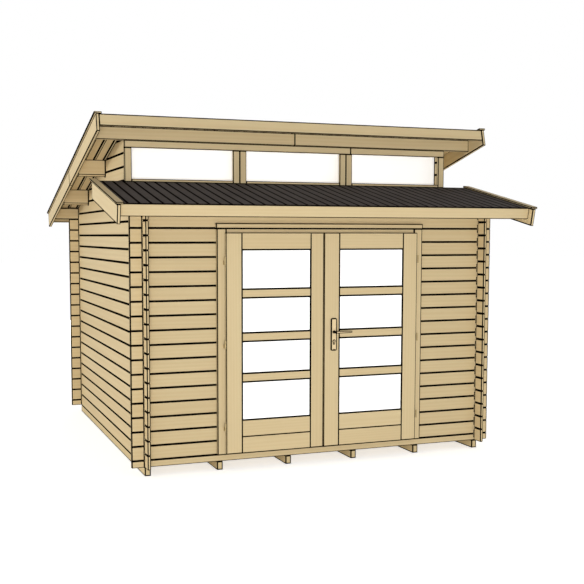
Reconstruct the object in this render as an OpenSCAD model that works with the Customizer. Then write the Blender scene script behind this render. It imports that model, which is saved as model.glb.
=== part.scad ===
// Garden house of interlocking logs: a low front roof, a row of fixed windows above it, and a
// higher roof that falls to the rear. A pair of glazed doors opens outwards.
// Units are millimetres, Z is up and the doors face -Y. The origin is the centre of the
// footprint of the roofs, on the ground.

/* [House] */
// Width over the side walls
house_w = 3000; // [2600:10:3800]
// Depth over the front and rear walls
house_d = 3000; // [2500:10:3800]
// Height of the front and rear walls at their outer faces, from the joists to the roof boards
wall_h = 2095; // [2000:5:2520]
// Height of one log
log_pitch = 113; // [94:1:140]
// Thickness of the logs
log_t = 26; // [19:1:45]
// How far the logs run on past the corner crossings
log_end = 104; // [60:1:150]
// Width of the groove at each log joint
groove_w = 12; // [4:0.5:16]
// Depth of the groove at each log joint
groove_d = 5; // [2:0.5:8]

/* [Floor] */
// Number of joists
joist_count = 6; // [3:1:9]
// Width of a joist
joist_w = 48; // [36:1:100]
// Height of a joist
joist_h = 70; // [40:1:120]
// Thickness of the floor boards
floor_t = 19; // [16:1:32]
// Gap between the floor boards and the walls
floor_gap = 5; // [2:1:12]

/* [Roofs] */
// Slope of the upper roof, which falls to the rear, in degrees
upper_slope = 14; // [8:0.5:16]
// Slope of the lower roof, which falls to the front, in degrees
lower_slope = 12; // [8:0.5:16]
// How far the upper roof reaches in front of the window row
upper_reach = 233; // [150:1:300]
// How far the upper roof reaches behind the rear wall
rear_overhang = 305; // [200:5:400]
// How far the lower roof reaches in front of the front wall
front_overhang = 414; // [300:2:600]
// How far the roof boards reach past the side walls
side_overhang = 247; // [180:1:320]
// Thickness of the roof boards
board_t = 18; // [15:1:28]
// Thickness of the roofing felt
felt_t = 3; // [2:0.5:6]
// Clearance between the layers of a roof, and between a roof and what it meets on the slope
layer_gap = 0.05; // [0.03:0.01:0.2]
// Thickness of the bargeboards
barge_t = 26; // [18:1:34]
// Height of the bargeboards
barge_h = 145; // [120:1:180]
// Where the two lengths of an upper bargeboard meet, from its front end
barge_joint = 1475; // [1000:5:2000]
// Width of the caps on the bargeboards
cap_w = 62; // [50:1:90]
// Thickness of the caps
cap_t = 17; // [12:1:25]
// How far a cap reaches outside its bargeboard
cap_lip = 14; // [6:1:20]
// Height of the fascia boards
fascia_h = 94; // [80:1:110]
// Thickness of the fascia boards
fascia_t = 18; // [15:1:26]
// Distance of the lower fascia behind the ends of the lower bargeboards
lower_fascia_inset = 54; // [20:1:90]
// Distance of the upper fascias inside the ends of the upper bargeboards
upper_fascia_inset = 3; // [0:1:40]
// Distance between the lower bargeboards' rear ends and the window row's front face
barge_end_gap = 10; // [5:1:40]

/* [Purlins] */
// Thickness of the purlins
purlin_t = 60; // [44:1:80]
// Height of the middle and rear purlins at their front faces
purlin_h = 148; // [110:1:170]
// Height of the front purlin at its front face
front_purlin_h = 104; // [80:1:120]
// Distance of the middle purlin's front face behind the front wall
middle_purlin_y = 1440; // [1200:5:1700]
// Distance of the rear purlin's front face before the rear wall's outer face
rear_purlin_back = 655; // [500:5:800]
// Chamfer on the lower front edge of the middle and rear purlins
purlin_chamfer = 16; // [4:1:25]

/* [Window row] */
// Distance of the window row's boards behind the front wall
row_y = 627; // [560:1:760]
// Thickness of the window row's boards
row_t = 26; // [18:1:34]
// Width of the upright boards
row_post_w = 60; // [45:1:80]
// Height of the head board
row_head_h = 59; // [45:1:75]
// Height of the sill strips above the lower roof
row_sill_h = 25; // [15:1:40]
// Gap between two boards that lie side by side
row_joint = 1; // [1:0.5:3]
// Where the two lengths of the head board meet, from the middle of the house
head_joint_x = 545; // [200:5:800]
// How far the front purlin stands out in front of the window row
purlin_reveal = 20; // [8:1:30]
// Distance from the boards' front face to the middle of the panes
pane_set = 140; // [100:1:170]
// Thickness of the panes in the window row
row_pane_t = 6; // [4:1:16]
// Height of the beams under the window row
row_beam_h = 110; // [80:1:120]
// How far the lower roof's beam reaches behind the window row's boards
row_beam_seat = 20; // [10:1:30]
// Thickness of the window board between the beams
window_board_t = 20; // [15:1:28]

/* [Doors] */
// Width between the jamb trims
door_w = 1670; // [1400:10:2100]
// Height of the top of the leaves above the joists
door_top = 1829; // [1700:1:1840]
// Height of the bottom of the leaves above the joists
door_bottom = 66; // [64:1:90]
// Distance of the meeting line from the middle of the doorway
meeting_x = -9; // [-20:1:20]
// Gap between the two leaves
meeting_gap = 6; // [6:0.5:12]
// Thickness of the leaves
leaf_t = 27; // [24:1:44]
// How far each leaf laps over its jamb trim
leaf_lap = 13; // [8:1:25]
// Clearance between the leaves and the trims behind them
leaf_gap = 5; // [5:0.5:10]
// Width of the outer stiles
stile_w = 133; // [100:1:150]
// Width of the left leaf's meeting stile
left_meeting_w = 113; // [95:1:150]
// Width of the right leaf's meeting stile
right_meeting_w = 136; // [115:1:150]
// Height of the top rail
top_rail_h = 133; // [100:1:150]
// Height of each of the two boards of the bottom rail
bottom_board_h = 133; // [100:1:150]
// Height of the glazing bars
bar_h = 67; // [45:1:80]
// Height of the middle of the lowest bar above the joists
bar_1_z = 675; // [640:1:700]
// Height of the middle of the second bar above the joists
bar_2_z = 1000; // [960:1:1030]
// Height of the middle of the highest bar above the joists
bar_3_z = 1348; // [1300:1:1380]
// Thickness of the panes in the doors
door_pane_t = 4; // [4:1:10]
// Distance of the panes behind the front of the leaves
door_pane_set = 6; // [4:1:10]

/* [Door frame] */
// Width of the jamb trims
trim_w = 77; // [60:1:95]
// Thickness of the trims on the outer face
trim_t = 28; // [18:1:32]
// Height of the head trim
head_trim_h = 42; // [35:1:60]
// How far the head trim reaches past the jamb trims
head_trim_ear = 5; // [0:1:15]
// Thickness of the jambs in the doorway
jamb_t = 30; // [22:1:40]
// Height of the doorway's top above the lower edge of the head trim
opening_play = 2.5; // [0:0.5:10]
// How far the frame head reaches down behind the leaves
head_stop = 10; // [8:1:20]
// Height of the gap that the head trim leaves above the leaves
head_reveal = 33; // [30:1:40]
// How far the frame head lies behind the front of the trims
head_recess = 5; // [2:1:10]
// Thickness of the trims on the inner face
inner_trim_t = 18; // [12:1:25]

/* [Hinges] */
// Radius of a hinge knuckle
knuckle_r = 7; // [6:0.5:10]
// Length of a hinge knuckle
knuckle_len = 32; // [24:1:45]
// Radius of a hinge pin
pin_r = 3; // [2:0.5:4]
// Clearance round a hinge pin
pin_gap = 0.2; // [0.1:0.05:0.4]
// Gap between the two knuckles of a hinge
knuckle_gap = 0.3; // [0.2:0.1:1]
// Gap between a frame knuckle and the edge of its leaf
knuckle_side = 1; // [0.5:0.25:2]
// Distance of the outer hinges from the top and bottom of a leaf
hinge_inset = 220; // [120:5:350]
// Thickness of a hinge lug
lug_t = 6; // [4:0.5:6]

/* [Handle] */
// Distance of the handle from the right leaf's meeting edge
handle_set = 86; // [70:1:92]
// Height of the spindle above the joists
spindle_z = 1017; // [970:1:1040]
// Distance from the spindle down to the lock cylinder
lock_drop = 76; // [72:1:92]
// Width of the handle plates
plate_w = 56; // [40:1:60]
// Height of the handle plates
plate_h = 270; // [230:1:280]
// How far the plates reach above the spindle
plate_above = 114; // [70:1:120]
// Thickness of the handle plates
plate_t = 8; // [5:1:12]
// Corner radius of the handle plates
plate_r = 14; // [6:1:20]
// Radius of the spindle
spindle_r = 5; // [4:0.5:6]
// Radius of the levers' necks
neck_r = 9; // [7:0.5:10]
// Distance of the levers' grips from the plates
grip_off = 38; // [30:1:50]
// Length of the levers' grips
grip_len = 140; // [110:1:150]
// Radius of a grip at its neck
grip_r = 8; // [6:0.5:10]
// Radius of a grip at its end
grip_end_r = 6.5; // [5:0.5:8]
// Clearance between the lever's parts and the plates
lever_gap = 0.3; // [0.2:0.1:0.5]
// Radius of the lock cylinder's barrel
lock_r = 8.5; // [8:0.5:9]
// Radius of the lock cylinder's lower body
lock_web_r = 5; // [4:0.5:6]
// Height of the lock cylinder
lock_h = 33; // [30:1:36]
// How far the lock cylinder stands out of the plates
lock_out = 2; // [1:0.5:4]

/* [Hidden] */
$fn = 48;

wood = [0.82, 0.74, 0.55];
wood_edge = [0.78, 0.69, 0.49];
felt = [0.27, 0.25, 0.23];
pane = [0.95, 0.95, 0.94];
steel = [0.62, 0.62, 0.62];

half_w = house_w / 2;
inner_half = half_w - log_t;
roof_half = half_w + side_overhang;
row_back = row_y + row_t;
overrun = 500;

// The roofs. A point of a roof is (s, n): s runs along the slope from the front end of its
// bargeboards, and n stands square to the slope, from the top of the felt.
skin_t = board_t + felt_t;
lower_y0 = -front_overhang;
upper_y0 = row_y - upper_reach;
upper_len = (house_d + rear_overhang - upper_y0) / cos(upper_slope);
function lower_z(y, n) = wall_h + y * tan(lower_slope) + (skin_t + n) / cos(lower_slope);
function upper_z(y, n) = wall_h + (house_d - y) * tan(upper_slope) + (skin_t + n) / cos(upper_slope);
function lower_pt(s, n) = [
    lower_y0 + s * cos(lower_slope) - n * sin(lower_slope),
    lower_z(lower_y0, 0) + s * sin(lower_slope) + n * cos(lower_slope)
];
function upper_pt(s, n) = [
    upper_y0 + s * cos(upper_slope) + n * sin(upper_slope),
    upper_z(upper_y0, 0) - s * sin(upper_slope) + n * cos(upper_slope)
];

// The box of the whole house along Y runs from the lower caps to the upper caps
front_most = lower_pt(0, cap_t)[0];
rear_most = upper_pt(upper_len, cap_t)[0];
middle_y = (front_most + rear_most) / 2;

// The front and rear walls start with half a log, so their joints lie at half pitches
function front_joint(k) = (k - 0.5) * log_pitch;
top_log = floor(wall_h / log_pitch + 0.1);
top_log_z = front_joint(top_log);
// The side walls stop at the last whole log that clears both roofs at its ends
side_margin = 20;
side_low = wall_h - log_end * max(tan(lower_slope), tan(upper_slope)) - side_margin;
side_logs = floor(side_low / log_pitch);
side_top = side_logs * log_pitch;
gable_peak = upper_z(row_back, -skin_t);
gable_logs = ceil(gable_peak / log_pitch);

// The window row stands on the lower roof, under the front purlin
purlin_front = row_y - purlin_reveal;
rear_purlin_y = house_d - rear_purlin_back;
head_top = upper_z(purlin_front, -skin_t) - front_purlin_h;
head_low = head_top - row_head_h;
window_w = house_w / 3;
seat_z = lower_z(row_back, -skin_t);
sill_top = lower_z(row_y, 0) + row_sill_h;
pane_y = row_y + pane_set;
window_board_back = pane_y + purlin_t / 2;

// The doors. The leaves lie in front of the trims.
door_half = door_w / 2;
opening_half = door_half + jamb_t;
leaf_back = -trim_t - leaf_gap;
leaf_front = leaf_back - leaf_t;
leaf_out = door_half + leaf_lap;
left_edge = meeting_x - meeting_gap / 2;
right_edge = meeting_x + meeting_gap / 2;
leaf_h = door_top - door_bottom;
bottom_rail_h = 2 * bottom_board_h;
pane_front = leaf_front + door_pane_set;
head_trim_z = door_top + head_reveal;
opening_top = head_trim_z + opening_play;
// The log that closes the doorway at its top. The doorway is notched into it where it must be.
lintel_log = min(floor(opening_top / log_pitch + 0.501), top_log - 1);
frame_head_z = door_top - head_stop;
hinge_x = leaf_out + knuckle_side + knuckle_r;
hinge_zs = [
    door_bottom + hinge_inset,
    door_bottom + leaf_h / 2,
    door_top - hinge_inset
];
handle_x = right_edge + handle_set;
lock_z = spindle_z - lock_drop;

// Puts the house over the origin, with the joists on the ground
module place() {
    translate([0, -middle_y, joist_h]) children();
}

// A section in the YZ plane, drawn out along X between two places
module along_x(x0, x1) {
    translate([x0, 0, 0]) rotate([90, 0, 90]) linear_extrude(x1 - x0) children();
}

// A section in the XZ plane, drawn out along Y between two places
module along_y(y0, y1) {
    translate([0, y1, 0]) rotate([90, 0, 0]) linear_extrude(y1 - y0) children();
}

module block(x0, x1, y0, y1, z0, z1) {
    translate([x0, y0, z0]) cube([x1 - x0, y1 - y0, z1 - z0]);
}

// The same children on the left and on the right
module both_sides() {
    children();
    mirror([1, 0, 0]) children();
}

function backwards(v) = [for (i = [len(v) - 1:-1:0]) v[i]];

// One face of a log wall from z0 to z1, with a groove at each joint. low and high tell whether
// the wall goes on with another log there, which gives that edge half a groove.
function face_points(x, inward, z0, z1, joints, low, high) = concat(
    low ? [[x + inward * groove_d, z0], [x, z0 + groove_w / 2]] : [[x, z0]],
    [for (z = joints) each [
        [x, z - groove_w / 2], [x + inward * groove_d, z], [x, z + groove_w / 2]
    ]],
    high ? [[x, z1 - groove_w / 2], [x + inward * groove_d, z1]] : [[x, z1]]
);

// Section of a log wall. Its outer face is at 0 and its inner face at log_t.
module log_section(z0, z1, z1_inner, joints, low, high) {
    polygon(concat(
        face_points(0, 1, z0, z1, joints, low, high),
        backwards(face_points(log_t, -1, z0, z1_inner, joints, low, high))
    ));
}

// What the side logs take of the front and rear logs at the crossings, up to the top log
module side_share(y0) {
    for (j = [1:top_log]) {
        both_sides()
            block(inner_half, half_w, y0, y0 + log_t, (j - 0.75) * log_pitch, (j - 0.25) * log_pitch);
    }
    both_sides()
        block(inner_half, half_w, y0, y0 + log_t, (top_log + 0.25) * log_pitch, wall_h + overrun);
}

// What the front and rear logs take of the side logs at the crossings
module front_share() {
    for (y0 = [0, house_d - log_t]) {
        for (k = [0:top_log]) {
            block(inner_half, half_w, y0, y0 + log_t,
                  max((k - 0.25) * log_pitch, 0), (k + 0.25) * log_pitch);
        }
    }
}

module floor_joists() {
    step = (house_w - joist_w) / (joist_count - 1);
    color(wood_edge) place()
        for (i = [0:joist_count - 1]) {
            x = -half_w + i * step;
            block(x, x + joist_w, 0, house_d, -joist_h, 0);
        }
}

module floor_boards() {
    reach = inner_half - floor_gap;
    color(wood) place()
        block(-reach, reach, log_t + floor_gap, house_d - log_t - floor_gap, 0, floor_t);
}

// A stretch of the front wall from joint k0 up to joint k1
module front_logs(x0, x1, k0, k1) {
    z0 = max(front_joint(k0), 0);
    z1 = front_joint(k1);
    joints = [for (k = [k0 + 1:1:k1 - 1]) front_joint(k)];
    difference() {
        along_x(x0, x1) log_section(z0, z1, z1, joints, k0 > 0, true);
        side_share(0);
    }
}

module front_sill_log() {
    reach = half_w + log_end;
    color(wood) place() front_logs(-reach, reach, 0, 1);
}

module front_wall_left() {
    color(wood) place() front_logs(-half_w - log_end, -opening_half, 1, lintel_log);
}

module front_wall_right() {
    color(wood) place() front_logs(opening_half, half_w + log_end, 1, lintel_log);
}

// The doorway through the front wall
module doorway() {
    block(-opening_half, opening_half, -1, log_t + 1, front_joint(1), opening_top);
}

module front_lintel_log() {
    reach = half_w + log_end;
    color(wood) place() difference() {
        front_logs(-reach, reach, lintel_log, top_log);
        doorway();
    }
}

module front_top_log() {
    color(wood) place() difference() {
        along_x(-roof_half, roof_half)
            log_section(top_log_z, lower_z(0, -skin_t), lower_z(log_t, -skin_t), [], true, false);
        side_share(0);
        doorway();
    }
}

module rear_wall() {
    reach = half_w + log_end;
    joints = [for (k = [1:top_log - 1]) front_joint(k)];
    color(wood) place() difference() {
        translate([0, house_d, 0]) mirror([0, 1, 0])
            along_x(-reach, reach) log_section(0, top_log_z, top_log_z, joints, false, true);
        side_share(house_d - log_t);
    }
}

module rear_top_log() {
    y0 = house_d - log_t;
    color(wood) place() difference() {
        translate([0, house_d, 0]) mirror([0, 1, 0])
            along_x(-roof_half, roof_half)
                log_section(top_log_z, upper_z(house_d, -skin_t), upper_z(y0, -skin_t), [], true, false);
        side_share(y0);
    }
}

// The right side wall below the gable; the left one is its mirror image
module side_wall() {
    joints = [for (j = [1:side_logs - 1]) j * log_pitch];
    difference() {
        translate([half_w, 0, 0]) mirror([1, 0, 0])
            along_y(-log_end, house_d + log_end)
                log_section(0, side_top, side_top, joints, false, true);
        front_share();
    }
}

module left_wall() {
    color(wood) place() mirror([1, 0, 0]) side_wall();
}

module right_wall() {
    color(wood) place() side_wall();
}

// Outline of a gable: under the lower roof at the front, under the upper roof behind the row
module gable_outline() {
    y_end = house_d + log_end;
    polygon([
        [-log_end, side_top],
        [y_end, side_top],
        [y_end, upper_z(y_end, -skin_t)],
        [row_back, upper_z(row_back, -skin_t)],
        [row_back, lower_z(row_back, -skin_t)],
        [-log_end, lower_z(-log_end, -skin_t)]
    ]);
}

module gable() {
    joints = [for (j = [side_logs + 1:gable_logs]) j * log_pitch];
    top = (gable_logs + 1) * log_pitch;
    difference() {
        intersection() {
            translate([half_w, 0, 0]) mirror([1, 0, 0])
                along_y(-log_end, house_d + log_end)
                    log_section(side_top, top, top, joints, true, false);
            along_x(inner_half - 1, half_w + 1) gable_outline();
        }
        front_share();
        lower_roof_beam();
        purlin_front_body();
        purlin_body(middle_purlin_y);
        purlin_body(rear_purlin_y);
    }
}

module left_gable() {
    color(wood) place() mirror([1, 0, 0]) gable();
}

module right_gable() {
    color(wood) place() gable();
}

// The beam that carries the rear edge of the lower roof, from bargeboard to bargeboard
module lower_roof_beam() {
    y0 = row_back - purlin_t;
    y1 = row_back + row_beam_seat;
    low = seat_z - row_beam_h;
    along_x(-roof_half, roof_half) polygon([
        [y0, low], [y1, low], [y1, seat_z], [row_back, seat_z], [y0, lower_z(y0, -skin_t)]
    ]);
}

module row_beams() {
    color(wood_edge) place() {
        lower_roof_beam();
        block(-inner_half, inner_half, window_board_back - purlin_t, window_board_back,
              seat_z - row_beam_h, seat_z);
    }
}

module window_board() {
    color(wood) place()
        block(-inner_half, inner_half, row_back, window_board_back, seat_z, seat_z + window_board_t);
}

// An upright board of the window row between x0 and x1
module row_post(x0, x1) {
    along_x(x0, x1) polygon([
        [row_y, lower_z(row_y, layer_gap)], [row_back, lower_z(row_back, layer_gap)],
        [row_back, head_low], [row_y, head_low]
    ]);
}

module row_posts() {
    color(wood) place() both_sides() {
        row_post(half_w - row_post_w, half_w);
        row_post(window_w / 2 - row_post_w, window_w / 2 - row_joint / 2);
        row_post(window_w / 2 + row_joint / 2, window_w / 2 + row_post_w);
    }
}

module row_sill(x0, x1) {
    along_x(x0, x1) polygon([
        [row_y, lower_z(row_y, layer_gap)], [row_back, lower_z(row_back, layer_gap)],
        [row_back, sill_top], [row_y, sill_top]
    ]);
}

module row_sills() {
    middle_reach = window_w / 2 - row_post_w;
    color(wood) place() {
        row_sill(-middle_reach, middle_reach);
        both_sides() row_sill(window_w / 2 + row_post_w, half_w - row_post_w);
    }
}

module row_head() {
    color(wood) place() {
        block(-half_w, head_joint_x - row_joint / 2, row_y, row_back, head_low, head_top);
        block(head_joint_x + row_joint / 2, half_w, row_y, row_back, head_low, head_top);
    }
}

// One pane of the window row, up to the underside of the roof boards
module row_pane(x0, x1) {
    y0 = pane_y - row_pane_t / 2;
    y1 = pane_y + row_pane_t / 2;
    low = seat_z + window_board_t;
    along_x(x0, x1) polygon([
        [y0, low], [y1, low], [y1, upper_z(y1, -skin_t)], [y0, upper_z(y0, -skin_t)]
    ]);
}

module row_glass() {
    middle_reach = (window_w - row_joint) / 2;
    color(pane) place() {
        row_pane(-middle_reach, middle_reach);
        both_sides() row_pane((window_w + row_joint) / 2, inner_half);
    }
}

module purlin_front_body() {
    y1 = purlin_front + purlin_t;
    along_x(-roof_half, roof_half) polygon([
        [purlin_front, head_top], [y1, head_top],
        [y1, upper_z(y1, -skin_t)], [purlin_front, upper_z(purlin_front, -skin_t)]
    ]);
}

// A purlin whose front face is at y0, with its lower front edge chamfered
module purlin_body(y0) {
    y1 = y0 + purlin_t;
    low = upper_z(y0, -skin_t) - purlin_h;
    along_x(-roof_half, roof_half) polygon([
        [y0, low + purlin_chamfer], [y0 + purlin_chamfer, low], [y1, low],
        [y1, upper_z(y1, -skin_t)], [y0, upper_z(y0, -skin_t)]
    ]);
}

module front_purlin() {
    color(wood) place() purlin_front_body();
}

module middle_purlin() {
    color(wood) place() purlin_body(middle_purlin_y);
}

module rear_purlin() {
    color(wood) place() purlin_body(rear_purlin_y);
}

// A layer of the lower roof between n0 and n1, from s0 to an upright end at y1
module lower_layer(x0, x1, s0, y1, n0, n1) {
    along_x(x0, x1) polygon([
        lower_pt(s0, n0), [y1, lower_z(y1, n0)], [y1, lower_z(y1, n1)], lower_pt(s0, n1)
    ]);
}

// A layer of the upper roof between n0 and n1, from s0 to s1
module upper_layer(x0, x1, s0, s1, n0, n1) {
    along_x(x0, x1) polygon([upper_pt(s0, n0), upper_pt(s1, n0), upper_pt(s1, n1), upper_pt(s0, n1)]);
}

module lower_roof_boards() {
    color(wood) place()
        lower_layer(-roof_half, roof_half, lower_fascia_inset + fascia_t + layer_gap, row_back,
                    layer_gap - skin_t, -felt_t);
}

module upper_roof_boards() {
    s0 = upper_fascia_inset + fascia_t + layer_gap;
    color(wood) place()
        upper_layer(-roof_half, roof_half, s0, upper_len - s0, layer_gap - skin_t, -felt_t);
}

module lower_roof_felt() {
    color(felt) place()
        lower_layer(-roof_half, roof_half, lower_fascia_inset, row_back, layer_gap - felt_t, 0);
}

module upper_roof_felt() {
    s0 = upper_fascia_inset;
    color(felt) place()
        upper_layer(-roof_half, roof_half, s0, upper_len - s0, layer_gap - felt_t, 0);
}

module lower_fascia() {
    s0 = lower_fascia_inset;
    low = -felt_t - fascia_h;
    color(wood) place() along_x(-roof_half, roof_half) polygon([
        lower_pt(s0, low), lower_pt(s0 + fascia_t, low),
        lower_pt(s0 + fascia_t, -felt_t), lower_pt(s0, -felt_t)
    ]);
}

module upper_fascias() {
    low = -felt_t - fascia_h;
    rear_s = upper_len - upper_fascia_inset;
    color(wood) place() {
        upper_layer(-roof_half, roof_half, upper_fascia_inset, upper_fascia_inset + fascia_t,
                    low, -felt_t);
        upper_layer(-roof_half, roof_half, rear_s - fascia_t, rear_s, low, -felt_t);
    }
}

module lower_bargeboards() {
    color(wood) place() both_sides()
        lower_layer(roof_half, roof_half + barge_t, 0, row_y - barge_end_gap, -barge_h, 0);
}

module upper_bargeboards() {
    color(wood) place() both_sides() {
        upper_layer(roof_half, roof_half + barge_t, 0, barge_joint - row_joint / 2, -barge_h, 0);
        upper_layer(roof_half, roof_half + barge_t, barge_joint + row_joint / 2, upper_len, -barge_h, 0);
    }
}

module bargeboard_caps() {
    x1 = roof_half + barge_t + cap_lip;
    color(wood) place() both_sides() {
        lower_layer(x1 - cap_w, x1, 0, row_back, layer_gap, cap_t);
        upper_layer(x1 - cap_w, x1, 0, upper_len, layer_gap, cap_t);
    }
}

// The jambs and the head in the doorway, with the trims on the inner face
module door_frame() {
    sill_z = front_joint(1);
    color(wood) place() {
        both_sides() {
            block(door_half, opening_half, 0, log_t, sill_z, frame_head_z);
            block(door_half, door_half + trim_w, log_t, log_t + inner_trim_t, sill_z, frame_head_z);
        }
        block(-opening_half, opening_half, 0, log_t, frame_head_z, opening_top);
        block(-door_half, door_half, head_recess - trim_t, 0, frame_head_z, head_trim_z);
        block(-door_half - trim_w, door_half + trim_w, log_t, log_t + inner_trim_t,
              frame_head_z, head_trim_z + head_trim_h);
    }
}

module door_trims() {
    reach = door_half + trim_w;
    color(wood) place() {
        both_sides() block(door_half, reach, -trim_t, 0, front_joint(1), head_trim_z);
        block(-reach - head_trim_ear, reach + head_trim_ear, -trim_t, 0,
              head_trim_z, head_trim_z + head_trim_h);
    }
}

// The lower half of each hinge, with its pin. The lug runs back to the trim.
module frame_hinge(z) {
    lug_end = -trim_t - leaf_front;
    translate([hinge_x, leaf_front, z - knuckle_len]) {
        cylinder(r = knuckle_r, h = knuckle_len);
        cylinder(r = pin_r, h = 2 * knuckle_len);
        block(0, lug_t, 0, lug_end, 0, knuckle_len);
    }
}

// The upper half of each hinge. The lug runs in to the edge of the leaf.
module leaf_hinge(z) {
    translate([hinge_x, leaf_front, z + knuckle_gap]) difference() {
        union() {
            cylinder(r = knuckle_r, h = knuckle_len);
            block(leaf_out - hinge_x, 0, 0, lug_t, 0, knuckle_len);
        }
        translate([0, 0, -1]) cylinder(r = pin_r + pin_gap, h = knuckle_len + 2);
    }
}

module frame_hinges() {
    color(steel) place() both_sides() for (z = hinge_zs) frame_hinge(z);
}

module left_door_hinges() {
    color(steel) place() mirror([1, 0, 0]) for (z = hinge_zs) leaf_hinge(z);
}

module right_door_hinges() {
    color(steel) place() for (z = hinge_zs) leaf_hinge(z);
}

module leaf_board(x0, x1, z0, z1) {
    block(x0, x1, leaf_front, leaf_back, z0, z1);
}

// The glazed opening of a leaf lies between glass_x0 and glass_x1
module leaf_rails(glass_x0, glass_x1) {
    leaf_board(glass_x0, glass_x1, door_bottom, door_bottom + bottom_rail_h);
    leaf_board(glass_x0, glass_x1, door_top - top_rail_h, door_top);
}

module leaf_bars(glass_x0, glass_x1) {
    for (z = [bar_1_z, bar_2_z, bar_3_z]) {
        leaf_board(glass_x0, glass_x1, z - bar_h / 2, z + bar_h / 2);
    }
}

module leaf_panes(glass_x0, glass_x1) {
    lows = [
        door_bottom + bottom_rail_h, bar_1_z + bar_h / 2, bar_2_z + bar_h / 2, bar_3_z + bar_h / 2
    ];
    highs = [bar_1_z - bar_h / 2, bar_2_z - bar_h / 2, bar_3_z - bar_h / 2, door_top - top_rail_h];
    for (i = [0:len(lows) - 1]) {
        block(glass_x0, glass_x1, pane_front, pane_front + door_pane_t, lows[i], highs[i]);
    }
}

left_glass_x0 = -leaf_out + stile_w;
left_glass_x1 = left_edge - left_meeting_w;
right_glass_x0 = right_edge + right_meeting_w;
right_glass_x1 = leaf_out - stile_w;

module left_door_stiles() {
    color(wood) place() {
        leaf_board(-leaf_out, left_glass_x0, door_bottom, door_top);
        leaf_board(left_glass_x1, left_edge, door_bottom, door_top);
    }
}

module left_door_rails() {
    color(wood) place() leaf_rails(left_glass_x0, left_glass_x1);
}

module left_door_bars() {
    color(wood) place() leaf_bars(left_glass_x0, left_glass_x1);
}

module left_door_glass() {
    color(pane) place() leaf_panes(left_glass_x0, left_glass_x1);
}

module right_door_stiles() {
    color(wood) place() {
        difference() {
            leaf_board(right_edge, right_glass_x0, door_bottom, door_top);
            along_y(leaf_front - 1, leaf_back + 1) {
                lock_outline(lever_gap);
                translate([handle_x, spindle_z]) circle(r = spindle_r + 2);
            }
        }
        leaf_board(right_glass_x1, leaf_out, door_bottom, door_top);
    }
}

module right_door_rails() {
    color(wood) place() leaf_rails(right_glass_x0, right_glass_x1);
}

module right_door_bars() {
    color(wood) place() leaf_bars(right_glass_x0, right_glass_x1);
}

module right_door_glass() {
    color(pane) place() leaf_panes(right_glass_x0, right_glass_x1);
}

// Outline of the lock cylinder in the XZ plane, grown by gap
module lock_outline(gap) {
    low = lock_z + lock_r - lock_h + lock_web_r;
    translate([handle_x, lock_z]) circle(r = lock_r + gap);
    translate([handle_x, low]) circle(r = lock_web_r + gap);
    translate([handle_x - lock_web_r - gap, low]) square([2 * (lock_web_r + gap), lock_z - low]);
}

// Outline of a handle plate in the XZ plane, with round corners
module plate_outline() {
    x0 = handle_x - plate_w / 2;
    z0 = spindle_z + plate_above - plate_h;
    translate([x0 + plate_r, z0]) square([plate_w - 2 * plate_r, plate_h]);
    translate([x0, z0 + plate_r]) square([plate_w, plate_h - 2 * plate_r]);
    for (x = [x0 + plate_r, x0 + plate_w - plate_r], z = [z0 + plate_r, z0 + plate_h - plate_r]) {
        translate([x, z]) circle(r = plate_r);
    }
}

module handle_plate(y0) {
    difference() {
        along_y(y0, y0 + plate_t) plate_outline();
        along_y(y0 - 1, y0 + plate_t + 1) {
            lock_outline(lever_gap);
            translate([handle_x, spindle_z]) circle(r = spindle_r + lever_gap);
        }
    }
}

module handle_plates() {
    color(steel) place() {
        handle_plate(leaf_front - plate_t);
        handle_plate(leaf_back);
    }
}

module lock_cylinder() {
    color(steel) place()
        along_y(leaf_front - plate_t - lock_out, leaf_back + plate_t + lock_out) lock_outline(0);
}

// A lever that starts at a plate's face and stands out along Y, with its grip to the right
module lever() {
    rotate([90, 0, 0]) translate([0, 0, lever_gap]) cylinder(r = neck_r, h = grip_off);
    translate([0, -grip_off, 0]) {
        rotate([0, 90, 0]) cylinder(r1 = grip_r, r2 = grip_end_r, h = grip_len);
        sphere(r = grip_r);
        translate([grip_len, 0, 0]) sphere(r = grip_end_r);
    }
}

// The outer and the inner lever on one spindle
module door_levers() {
    outer_y = leaf_front - plate_t;
    inner_y = leaf_back + plate_t;
    reach = lever_gap + 1;
    color(steel) place() translate([handle_x, 0, spindle_z]) {
        translate([0, outer_y, 0]) lever();
        translate([0, inner_y, 0]) mirror([0, 1, 0]) lever();
        translate([0, inner_y + reach, 0]) rotate([90, 0, 0])
            cylinder(r = spindle_r, h = inner_y - outer_y + 2 * reach);
    }
}

floor_joists();
floor_boards();
front_sill_log();
front_wall_left();
front_wall_right();
front_lintel_log();
front_top_log();
left_wall();
right_wall();
left_gable();
right_gable();
rear_wall();
rear_top_log();
row_beams();
window_board();
row_posts();
row_sills();
row_head();
row_glass();
front_purlin();
middle_purlin();
rear_purlin();
lower_roof_boards();
upper_roof_boards();
lower_roof_felt();
upper_roof_felt();
lower_fascia();
upper_fascias();
lower_bargeboards();
upper_bargeboards();
bargeboard_caps();
door_frame();
door_trims();
frame_hinges();
left_door_stiles();
left_door_rails();
left_door_bars();
left_door_glass();
left_door_hinges();
right_door_stiles();
right_door_rails();
right_door_bars();
right_door_glass();
right_door_hinges();
handle_plates();
lock_cylinder();
door_levers();
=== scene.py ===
"""Garden house of interlocking spruce logs: boards, felt, glass and fittings over the fixed frame.

All lengths are in metres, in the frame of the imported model: Z is up, the doors face -Y and the
origin is the centre of the roofs' footprint on the ground.
"""

import math
import random

import bmesh
import bpy
from bpy.props import FloatProperty, FloatVectorProperty, PointerProperty
from mathutils import Matrix, Vector


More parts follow.
